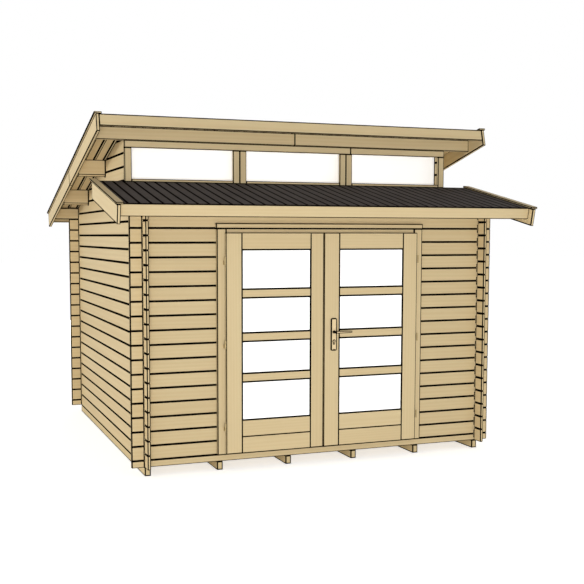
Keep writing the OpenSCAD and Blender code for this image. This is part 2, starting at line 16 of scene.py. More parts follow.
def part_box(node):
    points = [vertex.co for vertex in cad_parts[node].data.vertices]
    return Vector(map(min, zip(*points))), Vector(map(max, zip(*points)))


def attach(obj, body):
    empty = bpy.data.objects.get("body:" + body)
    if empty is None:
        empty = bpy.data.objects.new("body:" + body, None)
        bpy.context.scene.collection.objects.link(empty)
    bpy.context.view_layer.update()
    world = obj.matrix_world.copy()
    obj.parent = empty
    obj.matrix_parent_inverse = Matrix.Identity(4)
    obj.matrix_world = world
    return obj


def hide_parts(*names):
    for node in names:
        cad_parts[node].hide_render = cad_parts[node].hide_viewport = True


bl_info = {
    "name": "Garden House",
    "version": (1, 0, 0),
    "blender": (4, 5, 0),
    "location": "View3D > Sidebar > Garden House",
    "description": "Builds the boards, felt, panes and fittings of a log garden house",
    "category": "Add Mesh",
}

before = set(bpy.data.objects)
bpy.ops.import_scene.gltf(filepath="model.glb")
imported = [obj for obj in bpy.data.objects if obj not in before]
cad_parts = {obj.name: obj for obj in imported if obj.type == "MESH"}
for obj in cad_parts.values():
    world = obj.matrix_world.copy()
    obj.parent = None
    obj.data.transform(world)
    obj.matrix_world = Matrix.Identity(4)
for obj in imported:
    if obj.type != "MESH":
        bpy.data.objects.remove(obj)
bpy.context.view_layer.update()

AXES = {"x": Vector((1, 0, 0)), "y": Vector((0, 1, 0)), "z": Vector((0, 0, 1))}
# The wall logs stand on the joists, so their joints are counted from there
JOIST_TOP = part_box("floor_joists")[1].z
# Outer faces of the walls that cross the logs of each direction
CROSSINGS = {"x": (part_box("left_wall")[0].x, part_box("right_wall")[1].x),
             "y": (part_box("front_wall_left")[0].y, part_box("rear_wall")[1].y)}
# A log or board that would be narrower than this stays one with its neighbour
SLIVER = 0.004
# A rim of painted shade takes at most this share of its face, and a face too thin for THIN_RIM is all
# painted shade
RIM_SHARE = 0.38
THIN_RIM = 0.0008
# Length of one wave of a wave texture of scale 1
WAVE = 0.314


# ---- sizes and colours


def linear(hex_colour):
    """An sRGB hex colour as the linear RGBA that shaders take."""
    shares = [int(hex_colour[i:i + 2], 16) / 255 for i in (1, 3, 5)]
    return tuple(s / 12.92 if s <= 0.04045 else ((s + 0.055) / 1.055) ** 2.4 for s in shares) + (1.0,)


def length(name, description, default):
    """A size in metres that a user may change."""
    return FloatProperty(name=name, description=description, default=default, min=0.0,
                         unit="LENGTH", subtype="DISTANCE", precision=4)


def strength(name, description, default):
    """A strength of light that a user may change."""
    return FloatProperty(name=name, description=description, default=default, min=0.0)


def tint(name, description, hex_colour):
    """A colour that a user may change."""
    return FloatVectorProperty(name=name, description=description, default=linear(hex_colour), size=4,
                               min=0.0, max=1.0, subtype="COLOR")


class LogHouseSizes(bpy.types.PropertyGroup):
    log_height: length("Log height", "Height of one log from joint to joint", 0.113)
    # The eased edges, rims, bands and seams whose widths follow are painted shade along edges and
    # joints
    log_arris: length("Log arris", "Width of a log's eased edges", 0.0035)
    log_rim: length("Log rim", "Width of the darkened wood beside each log joint", 0.0026)
    end_band: length("End band", "Width of the darkened wood at the logs' ends and crossings", 0.0065)
    board_arris: length("Board arris", "Width of the eased edges of boards and joinery", 0.0022)
    board_rim: length("Board rim", "Width of the darkened wood along the edges of boards", 0.0040)
    roof_board: length("Roof board width", "Width of a roof board and of the felt strip over it", 0.088)
    roof_joint: length("Roof joint", "Width of the bevel along a roof board's lower edges", 0.0095)
    felt_seam: length("Felt seam", "Width of the dark line along each edge of a felt strip", 0.0090)
    floor_board: length("Floor board width", "Width of a floor board", 0.088)
    doorway: length("Doorway height", "From the joists to the underside of the frame's head", 1.819)
    head_trim: length("Head trim", "Height of the trim over the doors", 0.042)
    bottom_board: length("Bottom board", "Height of the lower board of a leaf's bottom rail", 0.133)
    bead: length("Glazing bead", "Width of the beads that hold the door panes", 0.012)
    # The plates' rounded edge and rim are painted shade
    plate_arris: length("Plate arris", "Width of the rounded edge of the handle plates", 0.0056)
    plate_rim: length("Plate rim", "Width of the dark rim of the handle plates", 0.0046)
    gasket: length("Gasket", "Width of the rubber that shows around each door pane", 0.0080)


class LogHouseColours(bpy.types.PropertyGroup):
    spruce_early: tint("Early wood", "Pale wood between the growth rings", "#D9C59A")
    spruce_late: tint("Late wood", "Darker wood of the growth rings", "#CDB68A")
    # Painted shade: the dark colour of eased edges and of the rims beside joints
    spruce_edge: tint("Weathered edge", "Wood along eased edges", "#0B0704")
    spruce_joint: tint("Joint", "Shaded wood in the log joints", "#060402")
    felt: tint("Felt", "Mineral-surfaced roofing felt", "#3B3532")
    granules: tint("Granules", "The palest slate granules on the felt", "#544D49")
    # Painted shade in the seams between the felt strips
    felt_seam: tint("Felt seam", "Bitumen along the seams of the felt", "#060504")
    milk_glass: tint("Milk glass", "Body of the white panes", "#FBFBFA")
    champagne: tint("Champagne metal", "Anodised handle plates and levers", "#D8C39A")
    champagne_streak: tint("Champagne streak", "Paler streaks of the brushing", "#E3D0AA")
    brass: tint("Brass", "Dull, pale brass plating on the hinges", "#A5946D")
    brass_streak: tint("Brass streak", "Paler spots of the plating", "#AD9C76")
    floor: tint("Floor", "Pale studio floor as the house sees it", "#F7F6F4")


class LogHouseLight(bpy.types.PropertyGroup):
    sky: strength("Sky", "Strength of the even white light", 0.43)
    fill: strength("Fill", "Light that each softbox throws on an upright face", 0.40)
    floor_glow: strength("Floor glow", "How far the seen floor is lifted to white", 0.59)
    floor_bounce: strength("Floor bounce", "Light that the floor adds from below", 0.22)
    focal_length: FloatProperty(name="Focal length", description="Focal length of the camera",
                                default=58.97, min=1.0, unit="CAMERA")
    camera_place: FloatVectorProperty(name="Camera place", description="Where the camera stands",
                                      default=(-3.14973, -8.66802, 1.87595), size=3, unit="LENGTH",
                                      subtype="TRANSLATION")


def sizes():
    return bpy.context.scene.log_house_sizes


def colours():
    return bpy.context.scene.log_house_colours


# ---- shaping boards


def merged_copy(node):
    """A bmesh of a CAD node, its loose triangles merged into whole flat faces."""
    bm = bmesh.new()
    bm.from_mesh(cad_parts[node].data)
    bmesh.ops.remove_doubles(bm, verts=bm.verts[:], dist=1e-5)
    bmesh.ops.dissolve_limit(bm, angle_limit=math.radians(0.2), verts=bm.verts[:],
                             edges=bm.edges[:], use_dissolve_boundaries=False)
    return bm


def islands(bm):
    """The separate solids of a bmesh, each as a list of its vertices, in the order of the mesh."""
    seen = set()
    for start in bm.verts:
        if start in seen:
            continue
        seen.add(start)
        found = [start]
        for vert in found:
            for edge in vert.link_edges:
                other = edge.other_vert(vert)
                if other not in seen:
                    seen.add(other)
                    found.append(other)
        yield found


def span(verts):
    """Lowest and highest corner of some vertices."""
    return (Vector([min(v.co[i] for v in verts) for i in range(3)]),
            Vector([max(v.co[i] for v in verts) for i in range(3)]))


def saw_apart(bm, axis, places):
    """Saws a solid into closed pieces across an axis at each of the places."""
    for place in places:
        cut = bmesh.ops.bisect_plane(bm, geom=bm.verts[:] + bm.edges[:] + bm.faces[:], dist=1e-6,
                                     plane_co=AXES[axis] * place, plane_no=AXES[axis])
        edges = [e for e in cut["geom_cut"] if isinstance(e, bmesh.types.BMEdge)]
        bmesh.ops.split_edges(bm, edges=edges)
    open_edges = [e for e in bm.edges if e.is_boundary]
    if open_edges:
        bmesh.ops.holes_fill(bm, edges=open_edges, sides=0)
    bmesh.ops.recalc_face_normals(bm, faces=bm.faces[:])


def block(bm, low, high):
    """A box from one corner to the other, added to a bmesh."""
    low, high = Vector(low), Vector(high)
    made = bmesh.ops.create_cube(bm, size=1.0)["verts"]
    bmesh.ops.scale(bm, vec=high - low, verts=made)
    bmesh.ops.translate(bm, vec=(low + high) / 2, verts=made)
    return made


def squared_blocks(node):
    """A bmesh of plain blocks, one for each solid of a CAD node."""
    source = merged_copy(node)
    bm = bmesh.new()
    for verts in islands(source):
        block(bm, *span(verts))
    source.free()
    return bm


def once(items):
    """Each item once, in order, so that every run works in the same order."""
    return list(dict.fromkeys(items))


def score(bm, axis, places, facing=None):
    """Scores flat faces across an axis: all of them, or only those that face one way."""
    for place in places:
        faces = [f for f in bm.faces if facing is None or f.normal.dot(facing) > 0.5]
        edges = once(edge for face in faces for edge in face.edges)
        verts = once(vert for face in faces for vert in face.verts)
        bmesh.ops.bisect_plane(bm, geom=verts + edges + faces, dist=1e-6,
                               plane_co=AXES[axis] * place, plane_no=AXES[axis])


def darken(faces, finish=1):
    """Gives faces a piece's second finish, its dark one, or a later one. On wood, felt and metal the
    dark finishes are painted shade.
    """
    for face in faces:
        face.material_index = finish


def darken_band(bm, axis, low, high, facing=None):
    """Darkens a narrow band of the faces that run along an axis, from one place to another, with
    painted shade: all of them, or only those that face one way."""
    low, high = sorted((low, high))
    score(bm, axis, (low, high), facing)
    darken(f for f in bm.faces if f.material_index == 0 and abs(f.normal.dot(AXES[axis])) < 0.5
           and low < f.calc_center_median().dot(AXES[axis]) < high
           and (facing is None or f.normal.dot(facing) > 0.5))


def narrow_side(face):
    """The shorter side of a face that is about a rectangle."""
    half = sum(edge.calc_length() for edge in face.edges) / 2
    return (half - math.sqrt(max(half * half - 4 * face.calc_area(), 0.0))) / 2


def darken_rims(bm, faces, rim_of):
    """Insets each flat face by a rim of painted shade of its own width."""
    groups = {}
    for face in faces:
        side = narrow_side(face)
        rim = min(rim_of(face), RIM_SHARE * side)
        if rim < THIN_RIM or rim_of(face) > side:
            darken([face])
        else:
            groups.setdefault(round(rim, 4), []).append(face)
    for rim, group in groups.items():
        made = bmesh.ops.inset_individual(bm, faces=group, thickness=rim, use_even_offset=True)
        darken(made["faces"])


def ease_edges(bm, width, rim, corner=55, only=None, pale=None, rim_of=None):
    """Bevels the outer edges of every piece and darkens them with painted shade, with a rim of painted
    shade on each flat face. only chooses the edges, pale the bevels that keep their wood, and rim_of
    each face's rim."""
    sharp = [e for e in bm.edges if len(e.link_faces) == 2 and e.is_convex
             and e.calc_face_angle() > math.radians(corner) and (only is None or only(e))]
    made = bmesh.ops.bevel(bm, geom=sharp, offset=width, offset_type="OFFSET", segments=1,
                           profile=0.5, affect="EDGES", material=-1)
    eased = {face for face in made["faces"] if pale is None or not pale(face)}
    darken(eased)
    flat = [f for f in bm.faces if f not in eased and f.material_index == 0]
    darken_rims(bm, flat, rim_of or (lambda face: rim))


def draw_grain(bm, label, along=None):
    """Gives each piece its own run of the grain, along its longest side or a given direction."""
    place = bm.verts.layers.float_vector.new("grain")
    tone = bm.verts.layers.float.new("tone")
    chance = random.Random(label)
    for verts in islands(bm):
        low, high = span(verts)
        size = high - low
        first = Vector(along) if along else AXES["xyz"[list(size).index(max(size))]]
        second = first.cross(AXES["x"] if abs(first.x) < 0.5 else AXES["z"]).normalized()
        third = first.cross(second)
        middle = (low + high) / 2
        shift = Vector((chance.uniform(0, 40), chance.uniform(-0.09, 0.09),
                        chance.uniform(0.03, 0.12)))
        shade = chance.uniform(-1, 1)
        for vert in verts:
            off = vert.co - middle
            vert[place] = Vector((off.dot(first), off.dot(second), off.dot(third))) + shift
            vert[tone] = shade


def finished(bm, name, body, materials, replaces=()):
    """Turns a bmesh into a piece that rides on a body and stands for the named CAD nodes."""
    mesh = bpy.data.meshes.new(name)
    bm.to_mesh(mesh)
    bm.free()
    for material in materials:
        mesh.materials.append(material)
    piece = bpy.data.objects.new(name, mesh)
    bpy.context.scene.collection.objects.link(piece)
    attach(piece, body)
    if replaces:
        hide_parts(*replaces)
    return piece


def refinish(node, material):
    """Gives a CAD node whose shape is right its finish."""
    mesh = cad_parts[node].data
    mesh.materials.clear()
    mesh.materials.append(material)


def timber(node, name, slot, wood, along=None, saws=(), bands=(), squared=False, arris=None, rim=None,
           body="house", **edges):
    """The usual board work: a copy of a CAD node, sawn into its boards, with bands of painted shade
    where another timber crosses it, eased with painted shade along its edges, and grained."""
    bm = squared_blocks(node) if squared else merged_copy(node)
    for axis, places in saws:
        saw_apart(bm, axis, places)
    for axis, start, end in bands:
        darken_band(bm, axis, start, end)
    ease_edges(bm, arris or sizes().board_arris, rim or sizes().board_rim, **edges)
    draw_grain(bm, name, along)
    return finished(bm, name, body, [wood, edge_painted_shade()], [node])


# ---- finishes


def add_node(tree, kind, sockets=None, links=None, **settings):
    """Adds a node with its settings, its input values and its links from other sockets."""
    made = tree.nodes.new(kind)
    for key, value in settings.items():
        setattr(made, key, value)
    for key, value in (sockets or {}).items():
        made.inputs[key].default_value = value
    for key, source in (links or {}).items():
        tree.links.new(source, made.inputs[key])
    return made


def new_finish(name, values):
    """A new material, its node tree and its Principled shader with some values set. A material that
    was made before comes back alone, with None for the other two."""
    if name in bpy.data.materials:
        return bpy.data.materials[name], None, None
    material = bpy.data.materials.new(name)
    material.use_nodes = True
    shader = material.node_tree.nodes["Principled BSDF"]
    for key, value in values.items():
        shader.inputs[key].default_value = value
    return material, material.node_tree, shader


def two_tones(tree, factor, low, high):
    """Mixes two linear colours by a factor socket and returns the colour socket. The node's sockets
    6, 7 and 2 are the ones for colours."""
    mixed = add_node(tree, "ShaderNodeMix", {6: tuple(low), 7: tuple(high)}, {0: factor},
                     data_type="RGBA")
    return mixed.outputs[2]


def spruce(name, ring_spacing=0.028, contrast=1.0, saw_marks=0.0, mark_spacing=0.009):
    """Pale wood with soft growth rings that run along each board, and a shade of its own on each
    board. Real rings stand 2 to 4 mm apart and are drawn wider, so that they show."""
    material, tree, shader = new_finish(name, {"Roughness": 0.62, "Specular IOR Level": 0.25})
    if tree is None:
        return material
    place = add_node(tree, "ShaderNodeAttribute", attribute_name="grain")
    shade = add_node(tree, "ShaderNodeAttribute", attribute_name="tone")
    run = add_node(tree, "ShaderNodeMapping", {"Scale": (0.05, 1.0, 1.0)},
                   {"Vector": place.outputs["Vector"]})
    rings = add_node(tree, "ShaderNodeTexWave",
                     {"Scale": WAVE / ring_spacing, "Distortion": 5.0, "Detail": 2.0,
                      "Detail Scale": 0.7, "Detail Roughness": 0.5},
                     {"Vector": run.outputs["Vector"]}, wave_type="RINGS", rings_direction="X")
    fibre_run = add_node(tree, "ShaderNodeMapping", {"Scale": (3.0, 90.0, 90.0)},
                         {"Vector": place.outputs["Vector"]})
    fibres = add_node(tree, "ShaderNodeTexNoise", {"Scale": 1.0, "Detail": 3.0},
                      {"Vector": fibre_run.outputs["Vector"]})
    wide_run = add_node(tree, "ShaderNodeMapping", {"Scale": (1.2, 9.0, 9.0)},
                        {"Vector": place.outputs["Vector"]})
    patches = add_node(tree, "ShaderNodeTexNoise", {"Scale": 1.0, "Detail": 1.0},
                       {"Vector": wide_run.outputs["Vector"]})
    added = {}
    for layer, share in ((rings, 0.30 * contrast), (fibres, 0.28 * contrast),
                         (patches, 0.40 * contrast), (shade, 0.14)):
        late = add_node(tree, "ShaderNodeMath", {1: share, 2: 0.0},
                        {0: layer.outputs["Fac"], **added}, operation="MULTIPLY_ADD")
        added = {2: late.outputs[0]}
    wood = two_tones(tree, late.outputs[0], colours().spruce_early, colours().spruce_late)
    tree.links.new(wood, shader.inputs["Base Color"])
    height = fibres.outputs["Fac"]
    if saw_marks:
        marks = add_node(tree, "ShaderNodeTexWave", {"Scale": WAVE / mark_spacing, "Distortion": 1.5},
                         {"Vector": place.outputs["Vector"]}, wave_type="BANDS", bands_direction="X")
        height = add_node(tree, "ShaderNodeMath", {1: saw_marks},
                          {0: marks.outputs["Fac"], 2: fibres.outputs["Fac"]},
                          operation="MULTIPLY_ADD").outputs[0]
    relief = add_node(tree, "ShaderNodeBump", {"Strength": 0.25, "Distance": 0.0006},
                      {"Height": height})
    tree.links.new(relief.outputs["Normal"], shader.inputs["Normal"])
    return material


def darkened(name, colour, paler, scale=40.0, roughness=0.85):
    """A dark surface, a little uneven along its length: painted shade on edges, joints and seams, or
    black rubber in its own colour.
    """
    material, tree, shader = new_finish(name, {"Roughness": roughness, "Specular IOR Level": 0.0})
    if tree is None:
        return material
    place = add_node(tree, "ShaderNodeTexCoord")
    blotches = add_node(tree, "ShaderNodeTexNoise", {"Scale": scale, "Detail": 2.0},
                        {"Vector": place.outputs["Object"]})
    shade = two_tones(tree, blotches.outputs["Fac"], colour, linear(paler))
    tree.links.new(shade, shader.inputs["Base Color"])
    return material


def planed_spruce():
    """Planed spruce logs and boards: pale and matt, with wide, soft rings."""
    return spruce("planed_spruce_log")


def joinery_spruce():
    """Planed joinery spruce: closer, quieter rings on trims and leaves."""
    return spruce("planed_spruce_joinery", ring_spacing=0.022, contrast=0.85)


def sawn_spruce():
    """Sawn spruce: the saw has left marks across the grain of joists and beams."""
    return spruce("sawn_spruce", ring_spacing=0.026, saw_marks=0.5)


def edge_painted_shade():
    """Painted shade on eased spruce edges and on the rims beside them, so that each board stands out
    from the next.
    """
    return darkened("spruce_edge_painted_shade", colours().spruce_edge, "#130D07")


def shaded_joint():
    """The depth of a log joint, which hardly any light reaches."""
    return darkened("shaded_log_joint", colours().spruce_joint, "#0C0805")


def felt_seam():
    """Painted shade along the seams between felt strips: black and dull."""
    return darkened("felt_seam_painted_shade", colours().felt_seam, "#0D0A08")


def roofing_felt():
    """Mineral-surfaced roofing felt: slate granules pressed into bitumen, dull and slightly
    speckled. The granules are about 1 mm wide and the speckle is drawn at 6 mm, so that it shows."""
    material, tree, shader = new_finish("slate_roofing_felt",
                                        {"Roughness": 0.9, "Specular IOR Level": 0.15})
    if tree is None:
        return material
    place = add_node(tree, "ShaderNodeTexCoord")
    grit = add_node(tree, "ShaderNodeTexNoise", {"Scale": 170.0, "Detail": 2.0, "Roughness": 0.7},
                    {"Vector": place.outputs["Object"]})
    sweep = add_node(tree, "ShaderNodeTexNoise", {"Scale": 3.0, "Detail": 2.0},
                     {"Vector": place.outputs["Object"]})
    both = add_node(tree, "ShaderNodeMath", {1: 0.5}, {0: sweep.outputs["Fac"], 2: grit.outputs["Fac"]},
                    operation="MULTIPLY_ADD")
    ramp = add_node(tree, "ShaderNodeMapRange", {"From Min": 0.45, "From Max": 1.05},
                    {"Value": both.outputs[0]})
    shade = two_tones(tree, ramp.outputs[0], colours().felt, colours().granules)
    tree.links.new(shade, shader.inputs["Base Color"])
    relief = add_node(tree, "ShaderNodeBump", {"Strength": 0.4, "Distance": 0.0008},
                      {"Height": grit.outputs["Fac"]})
    tree.links.new(relief.outputs["Normal"], shader.inputs["Normal"])
    return material


def milk_glass():
    """Milk-white float glass: an even white body under a polished face, with the faintest cloud. The
    small emission is painted light that lifts the panes to white, also under the eaves."""
    material, tree, shader = new_finish(
        "milk_white_glass",
        {"Emission Strength": 0.42, "Roughness": 0.12, "IOR": 1.52, "Specular IOR Level": 0.35})
    if tree is None:
        return material
    place = add_node(tree, "ShaderNodeTexCoord")
    cloud = add_node(tree, "ShaderNodeTexNoise", {"Scale": 2.5, "Detail": 2.0},
                     {"Vector": place.outputs["Object"]})
    body = two_tones(tree, cloud.outputs["Fac"], colours().milk_glass, linear("#FFFFFF"))
    tree.links.new(body, shader.inputs["Base Color"])
    # The emission, in the body's colour, is painted light
    tree.links.new(body, shader.inputs["Emission Color"])
    return material


def brushed_metal(name, colour, paler, roughness, brushing=(60.0, 60.0, 1400.0)):
    """Satin metal with fine brushing: a soft, slightly streaked sheen that varies in roughness."""
    material, tree, shader = new_finish(name, {"Metallic": 1.0})
    if tree is None:
        return material
    place = add_node(tree, "ShaderNodeTexCoord")
    run = add_node(tree, "ShaderNodeMapping", {"Scale": brushing}, {"Vector": place.outputs["Object"]})
    lines = add_node(tree, "ShaderNodeTexNoise", {"Scale": 1.0, "Detail": 3.0},
                     {"Vector": run.outputs["Vector"]})
    shade = two_tones(tree, lines.outputs["Fac"], colour, paler)
    tree.links.new(shade, shader.inputs["Base Color"])
    sheen = add_node(tree, "ShaderNodeMapRange",
                     {"To Min": roughness - 0.06, "To Max": roughness + 0.08},
                     {"Value": lines.outputs["Fac"]})
    tree.links.new(sheen.outputs[0], shader.inputs["Roughness"])
    return material


def champagne_metal():
    """Champagne anodised aluminium: a warm, matt sheen with fine brushing."""
    return brushed_metal("champagne_anodised_aluminium", colours().champagne,
                         colours().champagne_streak, roughness=0.60)


def dull_brass():
    """Brass-plated steel that has gone dull: pale spots, no brushing, close to the wood in colour."""
    return brushed_metal("dull_brass_plated_steel", colours().brass, colours().brass_streak,
                         roughness=0.55, brushing=(240.0, 240.0, 240.0))


def shaded_metal():
    """Painted shade on the edges and hollows of the handle, also the finish of its dark screw heads."""
    return darkened("shaded_metal_edge", linear("#0D0A07"), "#17120D", scale=300.0, roughness=0.5)


def rubber():
    """Extruded EPDM rubber: matt black, slightly dusty."""
    return darkened("black_rubber_gasket", linear("#0E0C0A"), "#191613", scale=60.0, roughness=0.8)


# ---- the pieces


def steps(low, high, start, width):
    """Places of the joints between logs or boards of one width, one of which lies at the start."""
    first = math.ceil((low - start) / width)
    return [start + i * width for i in range(first, int((high - start) / width) + 1)
            if low + SLIVER < start + i * width < high - SLIVER]


# Rims of painted shade on the logs that run along each direction: on their sides, as a share of the log
# rim, and on their sawn ends, in metres
LOG_RIMS = {"x": (1.0, 0.0062), "y": (1.5, 0.0042)}


def log_wall(node, runs):
    """The logs of one stretch of wall, with painted shade in the slanting grooves of their joints and
    in bands at their ends and crossings. Walls that run along X start with half a log, so their joints
    lie half a log lower than the side walls'."""
    pitch = sizes().log_height
    low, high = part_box(node)
    first = JOIST_TOP + (pitch / 2 if runs == "x" else pitch)
    bm = merged_copy(node)
    saw_apart(bm, "z", steps(low.z, high.z, first, pitch))
    darken((f for f in bm.faces if 0.3 < abs(f.normal.z) < 0.9), finish=2)
    band = sizes().end_band
    ends = (low.x, high.x) if runs == "x" else (low.y, high.y)
    # Bands of painted shade beside the crossing walls and at the logs' sawn ends
    for place in CROSSINGS[runs]:
        darken_band(bm, runs, place, place + math.copysign(band, place))
    for place, inwards in zip(ends, (band, -band)):
        if abs(place) > max(CROSSINGS[runs]):
            darken_band(bm, runs, place, place + inwards)
    # A band of painted shade on the gables' inner faces, beside the window row's panes
    if "gable" in node:
        inwards = AXES["x"] * -math.copysign(1, low.x)
        pane_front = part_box("row_glass")[0].y
        darken_band(bm, runs, pane_front - 2 * band, pane_front, facing=inwards)
    share, end_rim = LOG_RIMS[runs]
    side_rim = share * sizes().log_rim
    ease_edges(bm, sizes().log_arris, side_rim,
               rim_of=lambda face: end_rim if abs(face.normal.dot(AXES[runs])) > 0.9 else side_rim)
    draw_grain(bm, node, AXES[runs])
    return finished(bm, node + "_logs", "house",
                    [planed_spruce(), edge_painted_shade(), shaded_joint()], [node])


class LogHouseLogs(bpy.types.Operator):
    """Lay the logs of the walls and gables"""
    bl_idname = "log_house.logs"
    bl_label = "Logs"

    def execute(self, context):
        for node in ("front_sill_log", "front_wall_left", "front_wall_right", "front_lintel_log",
                     "front_top_log", "rear_wall", "rear_top_log"):
            log_wall(node, "x")
        for node in ("left_wall", "right_wall", "left_gable", "right_gable"):
            log_wall(node, "y")
        return {"FINISHED"}


class LogHouseFloor(bpy.types.Operator):
    """Lay the joists and the floor boards"""
    bl_idname = "log_house.floor"
    bl_label = "Floor"

    # Width of the painted shade along the joists' edges
    JOIST_RIM = 0.0070

    def execute(self, context):
        timber("floor_joists", "joists", "sawn_spruce", sawn_spruce(), rim=self.JOIST_RIM)
        low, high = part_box("floor_boards")
        timber("floor_boards", "floor_boarding", "spruce_boards", planed_spruce(),
               saws=[("y", steps(low.y, high.y, low.y, sizes().floor_board))])
        return {"FINISHED"}


def slope_of(node):
    """Unit direction from the front to the rear of a sloping slab that lies across X."""
    verts = [v.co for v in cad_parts[node].data.vertices]
    front = min(verts, key=lambda c: c.y)
    rear = max(verts, key=lambda c: c.y)
    return Vector((0, rear.y - front.y, rear.z - front.z)).normalized()


# How far a joint between roof boards lies outside the left wall's outer face
FIRST_JOINT = 0.010


def roof_joints(node):
    """Places of the joints between roof boards, counted from the left wall."""
    low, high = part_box(node)
    return steps(low.x, high.x, CROSSINGS["x"][0] - FIRST_JOINT, sizes().roof_board)


class LogHouseRoofBoards(bpy.types.Operator):
    """Board both roofs"""
    bl_idname = "log_house.roof_boards"
    bl_label = "Roof boards"

    # How far the painted shade beside a joint reaches, in joint widths, and the rims of painted shade
    # on a board's underside and on its other faces
    SHADED_TO = 1.7
    UNDER_RIM = 0.0036
    OTHER_RIM = 0.0028

    def execute(self, context):
        joint = sizes().roof_joint
        for node in ("lower_roof_boards", "upper_roof_boards"):
            joints = roof_joints(node)
            shaded = [("x", place - self.SHADED_TO * joint, place - joint) for place in joints]
            timber(node, node.replace("boards", "boarding"), "spruce_boards", planed_spruce(),
                   along=slope_of(node), saws=[("x", joints)], bands=shaded, arris=joint,
                   only=self.below, pale=self.in_joint,
                   rim_of=lambda face: self.UNDER_RIM if face.normal.z < -0.9 else self.OTHER_RIM)
        return {"FINISHED"}

    @staticmethod
    def below(edge):
        """The edges of the underside, where the joints show."""
        return min(face.normal.z for face in edge.link_faces) < -0.9

    @staticmethod
    def in_joint(face):
        """The side of a joint that takes the light keeps its wood. The other side gets painted shade.
        """
        return face.normal.x < -0.3


class LogHouseFelt(bpy.types.Operator):
    """Cover both roofs with strips of felt"""
    bl_idname = "log_house.felt"
    bl_label = "Roofing felt"

    # Width of the broken edge where a strip is cut
    CUT_EDGE = 0.0010

    def execute(self, context):
        for node in ("lower_roof_felt", "upper_roof_felt"):
            bm = merged_copy(node)
            saw_apart(bm, "x", roof_joints(node))
            ease_edges(bm, self.CUT_EDGE, sizes().felt_seam)
            finished(bm, node + "_strips", "house", [roofing_felt(), felt_seam()],
                     [node])
        return {"FINISHED"}


class LogHouseRoofTrim(bpy.types.Operator):
    """Fix the fascias, the bargeboards and their caps"""
    bl_idname = "log_house.roof_trim"
    bl_label = "Roof trim"

    # Rims of painted shade on the bargeboards' wide faces and on their edges
    WIDE_RIM = 0.0085
    EDGE_RIM = 0.0040
    # Eased edge of the caps, rims of their sides and undersides and of their tops, and a rim that is
    # wider than a cap is high: all painted shade
    CAP_ARRIS = 0.0018
    CAP_RIM = 0.0050
    CAP_TOP_RIM = 0.0036
    ALL_DARK = 0.05

    def execute(self, context):
        wood = joinery_spruce()
        timber("lower_fascia", "lower_fascia_board", "spruce_trim", wood)
        timber("upper_fascias", "upper_fascia_boards", "spruce_trim", wood)
        for level in ("lower", "upper"):
            timber(level + "_bargeboards", level + "_barge_boards", "spruce_trim", wood,
                   along=slope_of(level + "_roof_felt"),
                   rim_of=lambda face: self.WIDE_RIM if abs(face.normal.x) > 0.9 else self.EDGE_RIM)
        timber("bargeboard_caps", "barge_caps", "spruce_trim", wood, along=AXES["y"],
               arris=self.CAP_ARRIS, rim_of=self.cap_rim)
        return {"FINISHED"}

    @classmethod
    def cap_rim(cls, face):
        """The upper caps' sides are all painted shade. The lower caps' sides keep a pale middle between
        rims of painted shade.
        """
        if abs(face.normal.x) > 0.9:
            lower = face.calc_center_median().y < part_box("row_glass")[0].y
            return cls.CAP_RIM if lower else cls.ALL_DARK
        return cls.CAP_RIM if face.normal.z < 0 else cls.CAP_TOP_RIM


class LogHousePurlins(bpy.types.Operator):
    """Set the purlins and the beams under the window row"""
    bl_idname = "log_house.purlins"
    bl_label = "Purlins and beams"

    # Rims of painted shade on the purlins' undersides and on their other faces
    UNDER_RIM = 0.012
    OTHER_RIM = 0.0045

    def execute(self, context):
        timber("front_purlin", "front_purlin_timber", "sawn_spruce", planed_spruce(),
               saws=[("x", [0.0])])
        band = sizes().end_band
        # Bands of painted shade where the middle and rear purlins pass the side walls
        crossings = [("x", place, place + math.copysign(band, place)) for place in CROSSINGS["x"]]
        for node in ("middle_purlin", "rear_purlin"):
            timber(node, node + "_timber", "sawn_spruce", planed_spruce(), bands=crossings,
                   rim_of=lambda face: self.UNDER_RIM if face.normal.z < -0.9 else self.OTHER_RIM)
        timber("row_beams", "row_beam_timbers", "sawn_spruce", sawn_spruce())
        return {"FINISHED"}


class LogHouseWindowRow(bpy.types.Operator):
    """Fit the boards and the panes of the window row"""
    bl_idname = "log_house.window_row"
    bl_label = "Window row"

    def execute(self, context):
        for node, boards in (("row_posts", "row_post_boards"), ("row_sills", "row_sill_strips"),
                             ("row_head", "row_head_boards"), ("window_board", "window_board_plank")):
            timber(node, boards, "spruce_trim", joinery_spruce())
        refinish("row_glass", milk_glass())
        return {"FINISHED"}


class LogHouseDoorFrame(bpy.types.Operator):
    """Fit the door frame and its trims"""
    bl_idname = "log_house.door_frame"
    bl_label = "Door frame"

    # Width of the painted shade along the trims' edges
    TRIM_RIM = 0.0052

    def execute(self, context):
        wood = joinery_spruce()
        wall_faces = [corner.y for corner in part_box("front_wall_left")]
        trim_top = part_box("door_trims")[1].z
        timber("door_trims", "door_trim_boards", "spruce_trim", wood,
               saws=[("z", [trim_top - sizes().head_trim])], rim=self.TRIM_RIM)
        timber("door_frame", "door_frame_boards", "spruce_joinery", wood,
               saws=[("y", wall_faces), ("z", [JOIST_TOP + sizes().doorway])])
        return {"FINISHED"}


